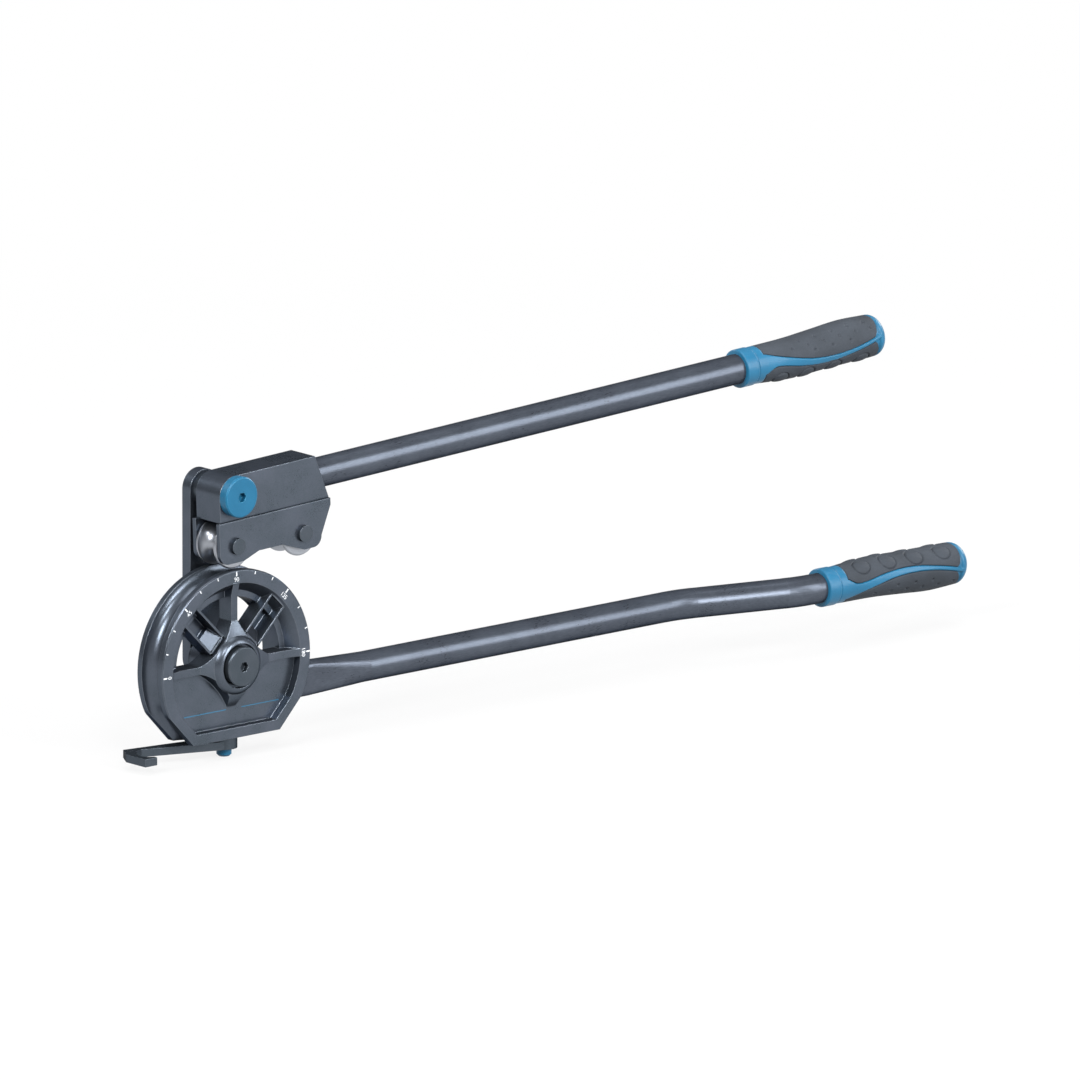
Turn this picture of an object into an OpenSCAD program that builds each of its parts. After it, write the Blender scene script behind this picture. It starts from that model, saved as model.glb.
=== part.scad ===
// Roller tube bender: a grooved forming wheel on a fixed handle, and a two-roller head
// on a second handle that swings round the wheel on a link.
// The origin is the wheel's axis at the middle of its groove. X points along the handles,
// the scale faces -Y and Z is up.

/* [Tube and forming wheel] */
// Outside diameter of the tube that is bent
tube_d = 15.9; // [13:0.1:17]
// Bend radius at the tube's centre line
bend_r = 63.5; // [60:0.5:72]
// Width of the forming wheel over both flanges
wheel_w = 26; // [25:0.5:30]
// Radial width of the flat ring that carries the scale
ring_w = 9; // [7:0.5:10]
// Depth of the sloped wall behind the ring
slope_depth = 9; // [6:0.5:11]
// How far the sloped wall leans in over its depth
slope_in = 6; // [4:0.5:8]
// Radial width of the ledge behind the sloped wall
ledge_w = 4.2; // [2:0.2:6]
// Height of the wheel's axis above its flat underside
flat_drop = 48.6; // [46:0.2:52]
// Half the length of the flat underside
flat_half = 36.7; // [32:0.1:40]
// Drop from the axis to the top of the slanted corners
slant_drop = 26.8; // [24:0.2:30]
// Width of the border round the lower panel
panel_border = 7; // [5:0.5:9]
// Depth of the lower panel in the front face
panel_depth = 5; // [4:0.25:5.5]
// Depth of the lower panel in the rear face
rear_depth = 4; // [3:0.25:5]
// Small bevel on the flange edges
flange_bevel = 0.8; // [0.3:0.1:1.5]

/* [Hub and spokes] */
// Width of the three plain spokes
spoke_w = 5.2; // [4:0.2:7]
// Depth of the plain spokes
spoke_depth = 13; // [9:0.5:16]
// How far the spokes' faces lie behind the ring's face
spoke_drop = 1.6; // [1:0.1:2.5]
// How far the star stands out of the spokes
star_step = 0.3; // [0.2:0.1:0.8]
// Outside width of the box spokes
box_w = 15.6; // [13:0.2:17]
// Wall of the box spokes
box_wall = 2.2; // [1.6:0.1:3]
// Depth of the box spokes
box_depth = 12.4; // [9:0.2:16]
// Distance from the axis to the inner end of a box spoke
box_start = 21.6; // [20.5:0.2:24]
// Reach of the star's points along the spokes
star_reach = 29; // [26:0.5:33]
// Reach of the star's lower point
star_low = 27.5; // [24:0.5:32]
// Half width of the star's lower point
star_tip = 2.8; // [2:0.2:4]
// Diameter of the round hub boss
boss_d = 38; // [36:0.5:40]
// Height of the hub boss in front of the ring
boss_h = 6; // [4:0.5:8]
// Rounding of the boss's edge
boss_round = 3; // [1:0.5:3]
// Depth of the recess for the bolt's head
boss_recess = 4.6; // [3:0.2:6]
// Gap round the bolt's head in its recess
head_gap = 1.25; // [1:0.25:2.5]
// Diameter of the hub barrel
barrel_d = 30; // [26:0.5:34]

/* [Pivot fasteners] */
// Diameter of the hub bolt's head
hub_head_d = 26.5; // [24:0.5:28]
// Thickness of the hub bolt's head
hub_head_h = 6; // [5:0.5:8]
// Diameter of the hub bolt's shoulder
hub_shoulder_d = 16; // [14:0.5:17]
// Diameter of the hub bolt's threaded end
hub_thread_d = 12; // [10:0.5:13]
// Diameter of the head screw's round head
screw_head_d = 27; // [24:0.5:28]
// Thickness of the head screw's round head
screw_head_h = 6.6; // [5:0.2:8]
// Diameter of the head screw's shoulder
screw_shoulder_d = 14; // [12:0.5:15]
// Diameter of the head screw's threaded end
screw_thread_d = 10; // [8:0.5:11]
// Size across flats of the hexagon sockets
socket_af = 6; // [5:0.5:8]
// Depth of the hexagon sockets
socket_depth = 3.5; // [2.5:0.25:4]
// Thickness of the thrust washer between hub and link
washer_h = 1.5; // [1:0.25:3]
// Wall of the bushes
bush_wall = 2; // [1.5:0.25:2.5]

/* [Swing link] */
// Distance from the wheel's axis to the head's pivot
pivot_z = 112.5; // [112:0.5:125]
// Radius of the link's round ends
link_r = 12.7; // [12.5:0.1:13.2]
// Thickness of the link
link_t = 8; // [6:0.5:10]
// Gap between the wheel's rear face and the link
link_gap = 5.5; // [5:0.25:8]

/* [Roller head] */
// Rise of the moving handle above level
handle_rise = 2.4; // [0:0.2:4]
// Thickness of the head block
block_w = 23.8; // [23:0.2:24.6]
// Height of the block above its pivot, which is its nose radius too
block_top = 13.4; // [13:0.2:14]
// Depth of the block below its pivot
block_drop = 16.2; // [15:0.2:16.4]
// Length of the block's lower edge from the pivot
block_len = 79; // [77:0.5:90]
// Lean of the block's rear end
block_lean = 10.5; // [6:0.5:14]
// Distance between the two roller axles
axle_pitch = 57; // [54:0.5:60]
// Distance from a roller's axle to the tube's centre line
roller_r = 15.8; // [15:0.1:15.9]
// Width of the rollers
roller_w = 20; // [19:0.2:20.2]
// Thickness of the cheek plates
cheek_t = 3.2; // [2.5:0.1:4]
// Side play between a roller and each cheek
cheek_play = 0.3; // [0.2:0.05:0.4]
// Reach of the cheeks in front of the pivot
cheek_nose = 15.8; // [15:0.2:18]
// Rounding of the cheeks' lower front corner
cheek_round = 7; // [4:0.5:9]
// Radius of the cheeks' lobes round the axles
lobe_r = 11; // [10:0.2:12]
// How far the cheeks' rear corner lies ahead of the block's end
cheek_tail = 8.5; // [6:0.5:10]
// Rise of the arch between the lobes
arch_rise = 4.5; // [3:0.5:6]
// Width of the block's tongue between the rollers
tongue_w = 20; // [14:1:22]
// Diameter of the roller axles
axle_d = 9; // [8:0.5:10]
// Diameter of the axles' heads
axle_head_d = 11; // [10.5:0.5:13]
// Thickness of the axles' heads
axle_head_h = 2.6; // [2:0.2:3]

/* [Handles] */
// Outside diameter of the handle tubes
handle_d = 20; // [18:0.5:20.5]
// Wall of the handle tubes
handle_wall = 2; // [1.5:0.25:3]
// Drop of the moving handle's axis below the head's pivot
handle_drop = 1.9; // [1:0.1:2.5]
// Depth of the moving handle's socket in the block
socket_in = 44; // [30:1:52]
// Distance from the head's pivot to the moving grip
moving_reach = 441; // [380:1:520]
// Drop of the fixed handle's axis below the wheel's axis
fixed_drop = 21.5; // [20.5:0.5:23]
// Distance from the wheel's axis to the fixed grip
fixed_reach = 491; // [480:1:600]
// Where the fixed handle starts to bend aside
jog_start = 378; // [320:1:380]
// How far the fixed grip stands aside of the wheel's middle plane
jog_aside = 24.4; // [18:0.2:28]
// Angle of the bend aside
jog_angle = 16; // [13:0.5:20]
// Bend radius of the handle's own bends
jog_r = 80; // [60:5:100]
// Thickness of the handle's flattened end
tang_t = 10; // [8:0.5:11]
// Height of the handle's flattened end
tang_h = 24; // [22:0.5:25]
// Where the flattened end stops inside the wheel
tang_in = 24; // [22:0.5:25]
// Where the handle starts to turn round
tang_out = 72; // [68:1:80]
// Where the handle is fully round
round_out = 118; // [100:1:140]
// Diameter of the screws that hold the flattened end
tang_screw_d = 6; // [5:0.5:7]
// Diameter of those screws' heads
tang_screw_head_d = 10.2; // [9:0.2:10.8]
// Height of those screws' heads
tang_screw_head_h = 2.6; // [2:0.2:3.4]
// Distance between those screws
tang_screw_pitch = 11.5; // [11:0.5:12.5]

/* [Grips] */
// Length of tube inside a grip
grip_cover = 108; // [100:1:130]
// Length of a grip's closed end, past the tube
grip_end = 15; // [14:1:20]
// Length of the smooth neck at the grip's mouth, before the pads
collar_len = 16; // [14:1:20]
// Length of the round collar on that neck
ring_len = 10; // [6:1:12]
// Wall of that collar
ring_wall = 2.8; // [2.2:0.1:3.2]
// Depth of the soft pads in the grip's core
pad_t = 1.8; // [1:0.1:1.9]
// Length of the rounded end
dome_len = 8; // [6:1:11]

/* [Tube hook] */
// Thickness of the hook plate
hook_t = 5.2; // [4:0.2:7]
// Height of the hook plate's top below the wheel
hook_gap = 3.2; // [2.5:0.1:4]
// Radius of the hook's eye
hook_eye_r = 8.8; // [8:0.2:11]
// Width of the hook's arm where it meets the claw
hook_arm_w = 7; // [5:0.5:9]
// Angle by which the arm leans to the rear
hook_lean = 20; // [18.5:0.5:22]
// Wall of the hook outside the tube
hook_web = 4.2; // [3:0.2:6]
// Play between the hook and the tube
hook_play = 0.5; // [0.2:0.1:1]
// Width of the hook's front tip
hook_tip = 10; // [8:0.5:12]
// Reach of the hook's tip in front of the tube's middle
hook_front = 11; // [10:0.5:14]
// Diameter of the hook pin's head
hook_head_d = 10; // [9.5:0.5:13]
// Height of the hook pin's head
hook_head_h = 5.4; // [4:0.2:6]
// Diameter of the hook pin's shoulder
hook_shoulder_d = 8; // [6.5:0.5:9]
// Diameter of the hook pin's threaded end
hook_thread_d = 6; // [4:0.5:6]
// Length of the hook pin's threaded end
hook_thread_l = 12; // [8:1:18]
// Thickness of the washer above the hook
hook_washer_h = 1; // [0.6:0.1:1.5]

/* [Clearances] */
// Gap between the flanges of the wheel and of a roller
flange_gap = 0.6; // [0.4:0.1:1]
// Radial play of a turning fit
run_fit = 0.05; // [0.03:0.01:0.1]
// Radial play of a fixed fit
seat_fit = 0.03; // [0.02:0.01:0.05]
// Side play between turning faces
side_play = 0.2; // [0.1:0.05:0.3]

/* [Hidden] */
$fn = 96;
// A cut runs this far past the face that it opens
past = 1;
// Colours
body_grey = [0.24, 0.26, 0.29];
steel_grey = [0.36, 0.38, 0.41];
bright_steel = [0.66, 0.67, 0.70];
bronze = [0.66, 0.50, 0.27];
accent_blue = [0.11, 0.44, 0.66];
pad_grey = [0.23, 0.24, 0.26];

// Wheel levels along Y and radii
front_y = -wheel_w / 2;
back_y = wheel_w / 2;
groove_r = tube_d / 2 + run_fit;
flange_r = bend_r - flange_gap / 2;
ring_r = flange_r - ring_w;
slope_r = ring_r - slope_in;
bore_r = slope_r - ledge_w;
slope_y = front_y + slope_depth;
panel_y = front_y + panel_depth;
rear_y = back_y - rear_depth;
spoke_y = front_y + spoke_drop;
half_spoke = spoke_w / 2;
boss_y = front_y - boss_h;
seat_y = boss_y + boss_recess;
hub_r = hub_shoulder_d / 2;

// Slanted corner of the wheel: unit normal and its distance from the axis
slant_top_x = sqrt(flange_r * flange_r - slant_drop * slant_drop);
slant_run = slant_top_x - flat_half;
slant_rise = flat_drop - slant_drop;
slant_length = sqrt(slant_run * slant_run + slant_rise * slant_rise);
slant_nx = slant_rise / slant_length;
slant_nz = -slant_run / slant_length;
slant_off = slant_nx * flat_half - slant_nz * flat_drop;

// Link levels
link_y0 = back_y + link_gap;
link_y1 = link_y0 + link_t;
hub_back_y = link_y0 - side_play - washer_h;

// Head levels
block_y = block_w / 2;
screw_seat_y = -block_y - side_play;
cheek_in_y = roller_w / 2 + cheek_play;
cheek_out_y = cheek_in_y + cheek_t;
axle_z = bend_r + roller_r;
roller_flange_r = roller_r - flange_gap / 2;
// A point of the upright head, from its pivot, in the head's own leaning frame
function lean(x, z) = [
    x * cos(handle_rise) + z * sin(handle_rise),
    z * cos(handle_rise) - x * sin(handle_rise)
];
lead_axle = lean(0, axle_z - pivot_z);
trail_axle = lean(axle_pitch, axle_z - pivot_z);
lobe_z = lead_axle[1] - lobe_r;
tongue_x = (lead_axle[0] + trail_axle[0]) / 2;
lock_pin_r = 2.5;
lock_pin_x = block_len - socket_in / 2;

// Fixed handle's path
half_handle = handle_d / 2;
handle_bore = half_handle - handle_wall;
jog_bend = 2 * jog_r * (1 - cos(jog_angle));
jog_run = (jog_aside - jog_bend) / sin(jog_angle);
jog_mid_x = jog_start + jog_r * sin(jog_angle);
jog_mid_y = -jog_r * (1 - cos(jog_angle));
jog_end_x = jog_mid_x + jog_run * cos(jog_angle) + jog_r * sin(jog_angle);
fixed_end = fixed_reach + grip_cover;
tang_screw_head_r = tang_screw_head_d / 2;
tang_screw_low = fixed_drop + tang_screw_head_r;
// The outer screw's head lies just inside the rear panel
tang_screw_x = sqrt(ring_r * ring_r - tang_screw_low * tang_screw_low) - tang_screw_head_r - past / 2
    - tang_screw_pitch;
// The change of section lies this far inside the bars that it joins
loft_skin = 0.05;
// The handle's bends are this much fuller than its straights
bend_swell = 0.05;

// Hook levels and points
hook_top = -flat_drop - hook_gap;
hook_low = hook_top - hook_t;
hook_eye_top = -flat_drop - hook_washer_h - side_play / 2;
hook_pin_seat = hook_low - side_play;
hook_notch_r = tube_d / 2 + hook_play;
hook_out_x = bend_r + hook_notch_r + hook_web;

// Shared shapes

// Extrudes an outline drawn in X and Z from y0 to y1
module slab_y(y0, y1) {
    translate([0, y1, 0]) rotate([90, 0, 0]) linear_extrude(y1 - y0) children();
}

// Round bar along Y
module rod_y(r, y0, y1) {
    translate([0, y1, 0]) rotate([90, 0, 0]) cylinder(r = r, h = y1 - y0);
}

// Round bar along X
module rod_x(r, x0, x1) {
    translate([x0, 0, 0]) rotate([0, 90, 0]) cylinder(r = r, h = x1 - x0);
}

// Turns an outline drawn in radius and Y about the Y axis
module turn_y() {
    rotate([-90, 0, 0]) rotate_extrude() children();
}

// Ring about Y
module ring_y(r_out, r_in, y0, y1) {
    difference() {
        rod_y(r_out, y0, y1);
        rod_y(r_in, y0 - past, y1 + past);
    }
}

// Round head at the -Y end of a bolt, with a bevelled rim and a hexagon socket
module bolt_head(d, h, face_y) {
    bevel = h / 8;
    r = d / 2;
    difference() {
        turn_y() polygon([
            [0, face_y], [r - bevel, face_y], [r, face_y + bevel], [r, face_y + h], [0, face_y + h]
        ]);
        translate([0, face_y + socket_depth, 0]) rotate([90, 0, 0])
            cylinder(d = socket_af / cos(30), h = socket_depth + past, $fn = 6);
    }
}

// The head's frame: its origin is the pivot and it leans with the moving handle
module at_head() {
    translate([0, 0, pivot_z]) rotate([0, -handle_rise, 0]) children();
}

module at_axle(pitch) {
    translate([pitch, 0, axle_z]) children();
}

// Forming wheel

// Outline of the wheel's flat and slanted sides, moved inwards
module wheel_sides(inset) {
    wide = 2 * flange_r;
    low = flat_drop - inset;
    off = slant_off - inset;
    low_x = (off + slant_nz * low) / slant_nx;
    high = (off - slant_nx * wide) / slant_nz;
    polygon([
        [-wide, wide], [wide, wide], [wide, high], [low_x, -low], [-low_x, -low], [-wide, high]
    ]);
}

module lower_panel() {
    intersection() {
        wheel_sides(panel_border);
        circle(ring_r);
        translate([-flange_r, -2 * flange_r - half_spoke]) square(2 * flange_r);
    }
}

module wheel_disc() {
    difference() {
        intersection() {
            turn_y() polygon([
                [0, front_y], [flange_r - flange_bevel, front_y], [flange_r, front_y + flange_bevel],
                [flange_r, back_y - flange_bevel], [flange_r - flange_bevel, back_y], [0, back_y]
            ]);
            slab_y(front_y, back_y) wheel_sides(0);
        }
        turn_y() translate([bend_r, 0]) circle(groove_r);
        intersection() {
            turn_y() polygon([
                [0, front_y - past], [ring_r, front_y - past], [ring_r, front_y], [slope_r, slope_y],
                [bore_r, slope_y], [bore_r, back_y + past], [0, back_y + past]
            ]);
            translate([-flange_r, -wheel_w, -half_spoke]) cube([2 * flange_r, 2 * wheel_w, 2 * flange_r]);
        }
        slab_y(front_y - past, panel_y) lower_panel();
        slab_y(rear_y, back_y + past) lower_panel();
    }
}

// A plain spoke that runs out from the axis at an angle
module plain_spoke(angle) {
    rotate([0, -angle, 0]) slab_y(spoke_y, spoke_y + spoke_depth)
        translate([0, -half_spoke]) square([slope_r + slope_in / 2, spoke_w]);
}

// An open box spoke
module box_spoke(angle) {
    rotate([0, -angle, 0]) slab_y(spoke_y, spoke_y + box_depth) difference() {
        translate([box_start, -box_w / 2]) square([slope_r + slope_in / 2 - box_start, box_w]);
        translate([box_start + box_wall, box_wall - box_w / 2])
            square([slope_r - 2 * box_wall - box_start, box_w - 2 * box_wall]);
    }
}

module hub_star() {
    slab_y(spoke_y - star_step, panel_y + past) polygon([
        [-star_reach, half_spoke], [-half_spoke, star_reach], [half_spoke, star_reach],
        [star_reach, half_spoke], [star_reach, -half_spoke], [star_tip, -star_low],
        [-star_tip, -star_low], [-star_reach, -half_spoke]
    ]);
}

module hub_boss() {
    r = boss_d / 2;
    turn_y() polygon(concat(
        [[0, panel_y], [0, boss_y]],
        [for (a = [90 : -15 : 0]) [
            r - boss_round + boss_round * cos(a),
            boss_y + boss_round - boss_round * sin(a)
        ]],
        [[r, panel_y]]
    ));
    rod_y(barrel_d / 2, panel_y, hub_back_y);
}

// Cross-section of the handle's flattened end, drawn in Z and Y
module tang_section(play) {
    r = tang_t / 2 + play;
    reach = (tang_h - tang_t) / 2;
    translate([-reach, 0]) circle(r);
    translate([reach, 0]) circle(r);
    translate([-reach, -r]) square([2 * reach, 2 * r]);
}

module tang_bar(x0, x1, play) {
    translate([x0, 0, -fixed_drop]) rotate([0, 90, 0]) linear_extrude(x1 - x0) tang_section(play);
}

module at_tang_screws() {
    for (i = [0, 1])
        translate([tang_screw_x + i * tang_screw_pitch, 0, -fixed_drop]) children();
}

module forming_wheel() {
    color(body_grey) difference() {
        union() {
            wheel_disc();
            for (angle = [0, 90, 180]) plain_spoke(angle);
            for (angle = [45, 135]) box_spoke(angle);
            hub_star();
            hub_boss();
        }
        rod_y(hub_head_d / 2 + head_gap, boss_y - past, seat_y);
        rod_y(hub_r + bush_wall + seat_fit, seat_y - past, hub_back_y + past);
        tang_bar(tang_in - seat_fit, flange_r + past, seat_fit);
        at_tang_screws() rod_y(tang_screw_d / 2 + seat_fit, 0, back_y + past);
        translate([0, 0, -flat_drop - past])
            cylinder(d = hook_thread_d + 2 * seat_fit, h = hook_thread_l + 2 * past);
    }
}

// Hub pivot

module hub_bush() {
    color(bronze) ring_y(hub_r + bush_wall, hub_r + run_fit, seat_y, hub_back_y);
}

module hub_washer() {
    color(bronze) ring_y(barrel_d / 2, hub_r + run_fit, hub_back_y, link_y0 - side_play);
}

module hub_bolt() {
    color(steel_grey) {
        bolt_head(hub_head_d, hub_head_h, seat_y - side_play - hub_head_h);
        rod_y(hub_r, seat_y - side_play, link_y0);
        rod_y(hub_thread_d / 2, link_y0, link_y1);
    }
}

// Fixed handle

// The handle's run behind its flattened end, at radius r: the straights reach into the bends
module fixed_run(r, x0, x1) {
    translate([0, 0, -fixed_drop]) {
        rod_x(r, x0, jog_start + past);
        translate([jog_start, -jog_r, 0]) rotate([0, 0, 90 - jog_angle])
            rotate_extrude(angle = jog_angle) translate([jog_r, 0]) circle(r + bend_swell);
        translate([jog_mid_x, jog_mid_y, 0]) rotate([0, 0, -jog_angle]) rod_x(r, -past, jog_run + past);
        translate([jog_end_x, jog_r - jog_aside, 0]) rotate([0, 0, 270 - jog_angle])
            rotate_extrude(angle = jog_angle) translate([jog_r, 0]) circle(r + bend_swell);
        translate([0, -jog_aside, 0]) rod_x(r, jog_end_x - past, x1);
    }
}

module fixed_handle() {
    color(steel_grey) difference() {
        union() {
            tang_bar(tang_in, tang_out, 0);
            hull() {
                tang_bar(tang_out - past, tang_out, -loft_skin, $fn = 32);
                translate([0, 0, -fixed_drop])
                    rod_x(half_handle - loft_skin, round_out, round_out + past, $fn = 48);
            }
            fixed_run(half_handle, round_out, fixed_end);
        }
        fixed_run(handle_bore, round_out + half_handle, fixed_end + past);
        at_tang_screws() rod_y(tang_screw_d / 2 + seat_fit, -handle_d, handle_d);
    }
}

module handle_screws() {
    color(steel_grey) at_tang_screws() {
        rod_y(tang_screw_d / 2, -tang_t / 2, rear_y);
        difference() {
            rod_y(tang_screw_head_r, rear_y, rear_y + tang_screw_head_h);
            translate([0, rear_y + tang_screw_head_h + past, 0]) rotate([90, 0, 0])
                cylinder(d = tang_screw_d * 0.7, h = past + tang_screw_head_h / 2, $fn = 6);
        }
    }
}

// Grips

// Smooth curve through points that are given as [x, value]
function smooth(p, x, i = 0) =
    i >= len(p) - 2 || x <= p[i + 1][0] ? bend_between(p, i, x) : smooth(p, x, i + 1);
function bend_between(p, i, x) =
    let (
        a = p[max(i - 1, 0)],
        b = p[i],
        c = p[i + 1],
        d = p[min(i + 2, len(p) - 1)],
        w = c[0] - b[0],
        t = (x - b[0]) / w,
        m0 = w * (c[1] - a[1]) / (c[0] - a[0]),
        m1 = w * (d[1] - b[1]) / (d[0] - b[0])
    )
    (2 * t * t * t - 3 * t * t + 1) * b[1] + (t * t * t - 2 * t * t + t) * m0
        + (3 * t * t - 2 * t * t * t) * c[1] + (t * t * t - t * t) * m1;

// A grip is drawn with its palm side up. These are shares of its length against millimetres
// outside the handle's tube: the palm side, the finger side and half the width
palm_side = [[0, 1.8], [0.1, 2.3], [0.35, 2.6], [0.55, 4.0], [0.74, 5.5], [0.9, 4.8], [1, 4.0]];
finger_side = [[0, 1.8], [0.1, 2.4], [0.35, 4.6], [0.55, 3.9], [0.74, 3.5], [0.9, 3.4], [1, 2.8]];
grip_side = [[0, 1.8], [0.1, 2.4], [0.35, 3.6], [0.55, 4.4], [0.74, 4.8], [0.9, 4.4], [1, 3.6]];
// Heights of the two edges of the stripe between the pads: they part at the neck and
// sweep down towards the fingers and up again
palm_edge = [
    [0, 10], [0.13, 8.6], [0.21, 5.8], [0.33, 2], [0.46, -1.4], [0.59, -2.4], [0.72, -1.3],
    [0.84, 1.4], [0.93, 4.3], [1, 6.5]
];
finger_edge = [
    [0, -9], [0.13, -5.4], [0.19, -1.6], [0.25, -1.7], [0.37, -4.5], [0.49, -6.2], [0.61, -6],
    [0.73, -3.9], [0.85, -1], [0.93, 1.8], [1, 3.5]
];

grip_len = grip_cover + grip_end;
dome_start = grip_len - dome_len;
pad_end = dome_start - past;
pad_lead = 0.8;
pad_rings = 14;
// The rings lie closer together towards the neck, where the edges sweep most
ring_bias = 1.7;
arc_steps = 5;
stripe_steps = 2;
dome_rings = 4;
core_skin = 0.1;
pad_seam = 0.12;

// How full the grip is at x: it rounds in over the dome
function fullness(x) = x <= dome_start ? 1 : sqrt(max(1 - pow((x - dome_start) / dome_len, 2), 0));

// Half height on one side of the grip, less an inset
function grip_r(side, x, inset) = (half_handle + smooth(side, x / grip_len)) * fullness(x) - inset;

// A point on the grip's skin: turn 0 is straight down, 90 to the front and 180 straight up
function grip_point(x, turn, inset) =
    let (high = grip_r(cos(turn) < 0 ? palm_side : finger_side, x, inset))
    [x, -grip_r(grip_side, x, inset) * sin(turn), -high * cos(turn)];

// Turn at which the skin meets an edge of the stripe
function edge_turn(edge, x) =
    let (z = smooth(edge, x / grip_len) * fullness(x))
    acos(-z / grip_r(z > 0 ? palm_side : finger_side, x, 0));
// Turn that a seam takes up on the skin
seam_turn = asin(pad_seam / half_handle);

function steps_between(a, b, n) = [for (i = [0 : n]) a + (b - a) * i / n];

// Rings along the pads, and all rings of the core, where the pads' beds lie lower than the stripe
bed_x = [for (i = [0 : pad_rings - 1])
    collar_len + (pad_end - collar_len) * pow(i / (pad_rings - 1), ring_bias)];
core_x = concat(
    [past, ring_len + past, collar_len - pad_lead],
    bed_x,
    [pad_end + pad_lead],
    [for (i = [0 : dome_rings - 1]) dome_start + dome_len * sin(90 * i / dome_rings + 4)]
);
function bed(x) = x >= collar_len && x <= pad_end ? pad_t : core_skin;

function core_ring(x) =
    let (
        low = edge_turn(finger_edge, x),
        high = edge_turn(palm_edge, x),
        front = concat(
            [for (t = steps_between(0, low, arc_steps)) [t, bed(x)]],
            [for (t = steps_between(low, high, stripe_steps)) [t, 0]],
            [for (t = steps_between(high, 180, arc_steps)) [t, bed(x)]]
        ),
        rear = [for (i = [len(front) - 2 : -1 : 1]) [360 - front[i][0], front[i][1]]]
    )
    [for (p = concat(front, rear)) grip_point(x, p[0], p[1])];

// The two triangles between points a and b of one ring and c and d of the next
function pair_faces(a, b, c, d, crossed) =
    crossed ? [[a, b, c], [b, d, c]] : [[a, b, d], [a, d, c]];

// Faces that join rings of n points, with both ends closed
function ring_faces(count, n, crossed) = concat(
    [for (i = [0 : count - 2], j = [0 : n - 1])
        let (k = (j + 1) % n)
        each pair_faces(i * n + j, i * n + k, (i + 1) * n + j, (i + 1) * n + k, crossed)],
    [[for (j = [n - 1 : -1 : 0]) j]],
    [[for (j = [0 : n - 1]) (count - 1) * n + j]]
);

// A pad is crossed the other way than the core, so that its underside has the same facets as its bed
module ring_loft(rings, crossed) {
    polyhedron([for (r = rings, p = r) p], ring_faces(len(rings), len(rings[0]), crossed));
}

module grip_core() {
    ring_r = half_handle + ring_wall;
    color(accent_blue) difference() {
        union() {
            ring_loft([for (x = core_x) core_ring(x)], false);
            rod_x(ring_r, past / 2, ring_len);
            rotate([0, 90, 0]) cylinder(r1 = ring_r - past / 2, r2 = ring_r, h = past / 2);
        }
        rod_x(half_handle + seat_fit, -past, grip_cover + seat_fit);
    }
}

// One ring of a pad between two turns: out along the skin and back along its bed
function pad_ring(x, from, to) =
    concat(
        [for (t = steps_between(from, to, 2 * arc_steps)) grip_point(x, t, 0)],
        [for (t = steps_between(to, from, 2 * arc_steps)) grip_point(x, t, pad_t - pad_seam)]
    );

pad_x = [for (x = bed_x) min(max(x, collar_len + pad_seam), pad_end - pad_seam)];

module palm_pad() {
    color(pad_grey) ring_loft([for (x = pad_x)
        let (from = edge_turn(palm_edge, x) + seam_turn)
        pad_ring(x, from, 360 - from)], true);
}

module finger_pad() {
    color(pad_grey) ring_loft([for (x = pad_x)
        let (to = edge_turn(finger_edge, x) - seam_turn)
        pad_ring(x, -to, to)], true);
}

// The fixed grip lies with its finger side up
module at_fixed_grip() {
    translate([fixed_reach, -jog_aside, -fixed_drop]) rotate([180, 0, 0]) children();
}

module at_moving_grip() {
    at_head() translate([moving_reach, 0, -handle_drop]) children();
}

module fixed_grip_core() {
    at_fixed_grip() grip_core();
}

module fixed_palm_pad() {
    at_fixed_grip() palm_pad();
}

module fixed_finger_pad() {
    at_fixed_grip() finger_pad();
}

module moving_grip_core() {
    at_moving_grip() grip_core();
}

module moving_palm_pad() {
    at_moving_grip() palm_pad();
}

module moving_finger_pad() {
    at_moving_grip() finger_pad();
}

// Tube hook

module hook_outline() {
    // The arm's edges leave the eye just inside its rim and close in on each other
    root_r = hook_eye_r - hook_play;
    start = [-root_r * sin(hook_lean), -root_r * cos(hook_lean)];
    inner_x = hook_notch_r / 2 - bend_r;
    inner_y = start[1] + (start[0] - inner_x) * tan(hook_lean);
    tip_x = hook_tip - hook_out_x;
    circle(hook_eye_r);
    difference() {
        polygon([
            start, [inner_x, inner_y], [tip_x, inner_y - hook_notch_r / 4],
            [tip_x, -hook_front], [-hook_out_x, -hook_front], [-hook_out_x, hook_notch_r],
            [-hook_out_x + hook_arm_w, inner_y + hook_arm_w], [0, root_r]
        ]);
        translate([-bend_r, 0]) circle(hook_notch_r);
    }
}

module tube_hook() {
    color(steel_grey) difference() {
        union() {
            translate([0, 0, hook_low]) linear_extrude(hook_t) hook_outline();
            translate([0, 0, hook_low]) cylinder(r = hook_eye_r, h = hook_eye_top - hook_low);
        }
        translate([0, 0, hook_low - past])
            cylinder(d = hook_shoulder_d + 2 * run_fit, h = hook_t + hook_gap + 2 * past);
    }
}

module hook_pin() {
    bevel = hook_head_h / 4;
    color(accent_blue) {
        translate([0, 0, hook_pin_seat - hook_head_h])
            cylinder(d1 = hook_head_d - 2 * bevel, d2 = hook_head_d, h = bevel);
        translate([0, 0, hook_pin_seat - hook_head_h + bevel])
            cylinder(d = hook_head_d, h = hook_head_h - bevel);
        translate([0, 0, hook_pin_seat]) cylinder(d = hook_shoulder_d, h = -flat_drop - hook_pin_seat);
        translate([0, 0, -flat_drop]) cylinder(d = hook_thread_d, h = hook_thread_l);
    }
}

module hook_washer() {
    color(bright_steel) translate([0, 0, -flat_drop - hook_washer_h]) difference() {
        cylinder(r = hook_eye_r, h = hook_washer_h);
        translate([0, 0, -past])
            cylinder(d = hook_shoulder_d + 2 * seat_fit, h = hook_washer_h + 2 * past);
    }
}

// Swing link

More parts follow.
